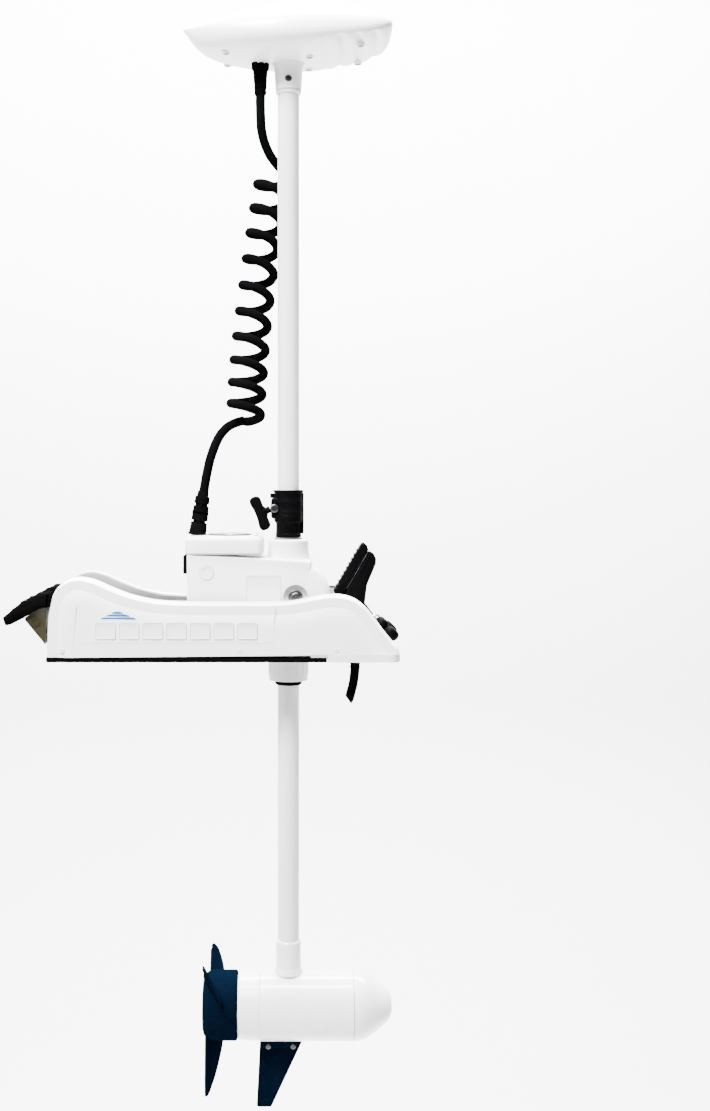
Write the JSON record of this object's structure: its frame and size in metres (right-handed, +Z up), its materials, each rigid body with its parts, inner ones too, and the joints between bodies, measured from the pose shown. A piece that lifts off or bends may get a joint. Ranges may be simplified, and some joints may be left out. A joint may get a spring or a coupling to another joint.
{
  "type": "trolling motor",
  "caption": "Bow-mount electric trolling motor: control head, long shaft, tilting fork deck mount with steering housing, and a motor pod with propeller and skeg.",
  "frame": {"origin": "centre of the four deck bolts, on the deck plane under the rail pads", "axes": "+Z up along the shaft when deployed, +X towards the bow end past the shaft, +Y across to the pedal's side"},
  "size_m": [0.5016, 0.1965, 1.4322],
  "materials": {
    "white_plastic": "satin moulded white plastic",
    "white_metal": "gloss white powder coat",
    "rail_metal": "plain extruded aluminium",
    "black_plastic": "moulded black plastic",
    "black_rubber": "matt black rubber",
    "tinted_plastic": "dark tinted plastic",
    "steel": "stainless steel",
    "navy_plastic": "dark navy moulded plastic",
    "shaft_white": "smooth white coating over stainless tube",
    "pod_white": "gloss white coating over aluminium",
    "lens": "dark grey lens",
    "brass": "plain bearing bronze",
    "nylon": "natural nylon",
    "board": "circuit board",
    "iron": "laminated iron",
    "cord": "black flexible cord jacket"
  },
  "bodies": {
    "base": {"side_cover_far": "white_plastic", "side_cover_near": "white_plastic", "side_rails": "rail_metal", "rail_pads": "black_rubber", "pivot_bushes": "nylon", "pod_rests": "black_rubber", "rest_brackets": "tinted_plastic", "end_plate": "white_metal", "pivot_bolts": "steel", "cover_screws": "steel", "pedal_pin": "steel", "pedal_spring": "steel", "bow_bracket": "white_metal", "hold_down_strap": "black_rubber"},
    "pedal": {"foot_pedal": "black_plastic"},
    "latch": {"latch_bolt": "steel"},
    "lock": {"lock_knob": "black_plastic"},
    "steering_unit": {"housing_shell_far": "white_plastic", "housing_shell_near": "white_plastic", "housing_lid": "white_plastic", "indicator_lens": "lens", "port_plug": "black_rubber", "sleeve_bearings": "brass", "sleeve_nut": "white_plastic", "seal_ring": "black_rubber", "gear_plate": "rail_metal", "steering_motor": "steel", "control_board": "board", "cord_strain_relief": "black_rubber", "cord_lower_lead": "cord"},
    "idler": {"idler_gear": "brass"},
    "pinion": {"motor_pinion": "steel"},
    "drive_sleeve": {"drive_tube": "steel", "main_gear": "brass", "depth_collar": "black_plastic", "collar_screw": "steel"},
    "clamp": {"clamp_knob": "black_plastic"},
    "shaft_unit": {"shaft_tube": "shaft_white", "head_cover_top": "white_plastic", "head_cover_bottom": "white_plastic", "head_neck": "white_plastic", "neck_screw": "steel", "head_board": "board", "head_gland": "black_rubber", "strut": "pod_white", "pod_tube": "pod_white", "pod_rear_cap": "pod_white", "pod_nose": "pod_white", "motor_bearings": "steel", "shaft_seal": "black_rubber", "magnets": "iron", "brush_carrier": "black_plastic", "skeg": "navy_plastic", "skeg_screws": "steel", "cord_upper_lead": "cord", "cord_coil": "cord"},
    "rotor": {"propeller": "navy_plastic", "motor_shaft": "steel", "prop_nut": "brass", "armature": "iron"}
  },
  "joints": [
    {"name": "tilt", "type": "hinge", "parent": "base", "child": "steering_unit", "pos_m": [0.174, 0, 0.078], "axis": [0, 1, 0], "range_deg": [0, 85]},
    {"name": "steer", "type": "hinge", "parent": "steering_unit", "child": "drive_sleeve", "pos_m": [0.165, 0, 0], "axis": [0, 0, 1], "range_deg": [-180, 180], "deforming": ["cord_coil", "cord_upper_lead", "cord_lower_lead"]},
    {"name": "depth", "type": "slide", "parent": "drive_sleeve", "child": "shaft_unit", "axis": [0, 0, -1], "range_m": [-0.3, 0.18]},
    {"name": "prop_spin", "type": "hinge", "parent": "shaft_unit", "child": "rotor", "pos_m": [0.165, 0, -0.4555], "axis": [1, 0, 0], "continuous": true},
    {"name": "pedal_press", "type": "hinge", "parent": "base", "child": "pedal", "pos_m": [0.249, 0.0585, 0.04], "axis": [0, 1, 0], "range_deg": [0, 20], "stiffness_Nm_per_rad": 2, "springref_deg": -5.73},
    {"name": "latch_slide", "type": "slide", "parent": "base", "child": "latch", "axis": [1, 0, 0], "range_m": [0, 0.009]},
    {"name": "lock_turn", "type": "hinge", "parent": "base", "child": "lock", "pos_m": [0.288, 0, 0.026], "axis": [0.7071, 0, 0.7071], "continuous": true},
    {"name": "clamp_turn", "type": "hinge", "parent": "drive_sleeve", "child": "clamp", "pos_m": [0.145, 0, 0.19], "axis": [-0.9272, 0, -0.3746], "range_deg": [0, 180]},
    {"name": "idler_spin", "type": "hinge", "parent": "steering_unit", "child": "idler", "pos_m": [0.121, 0, 0.1045], "axis": [0, 0, 1], "range_deg": [-320, 320]},
    {"name": "pinion_spin", "type": "hinge", "parent": "steering_unit", "child": "pinion", "pos_m": [0.099, 0, 0.1045], "axis": [0, 0, 1], "range_deg": [-850, 850]}
  ],
  "couplings": [
    {"joint": "idler_spin", "follows": "steer", "ratio": -1.75},
    {"joint": "pinion_spin", "follows": "steer", "ratio": 4.6667},
    {"joint": "latch_slide", "follows": "pedal_press", "m_per_rad": 0.0225}
  ]
}
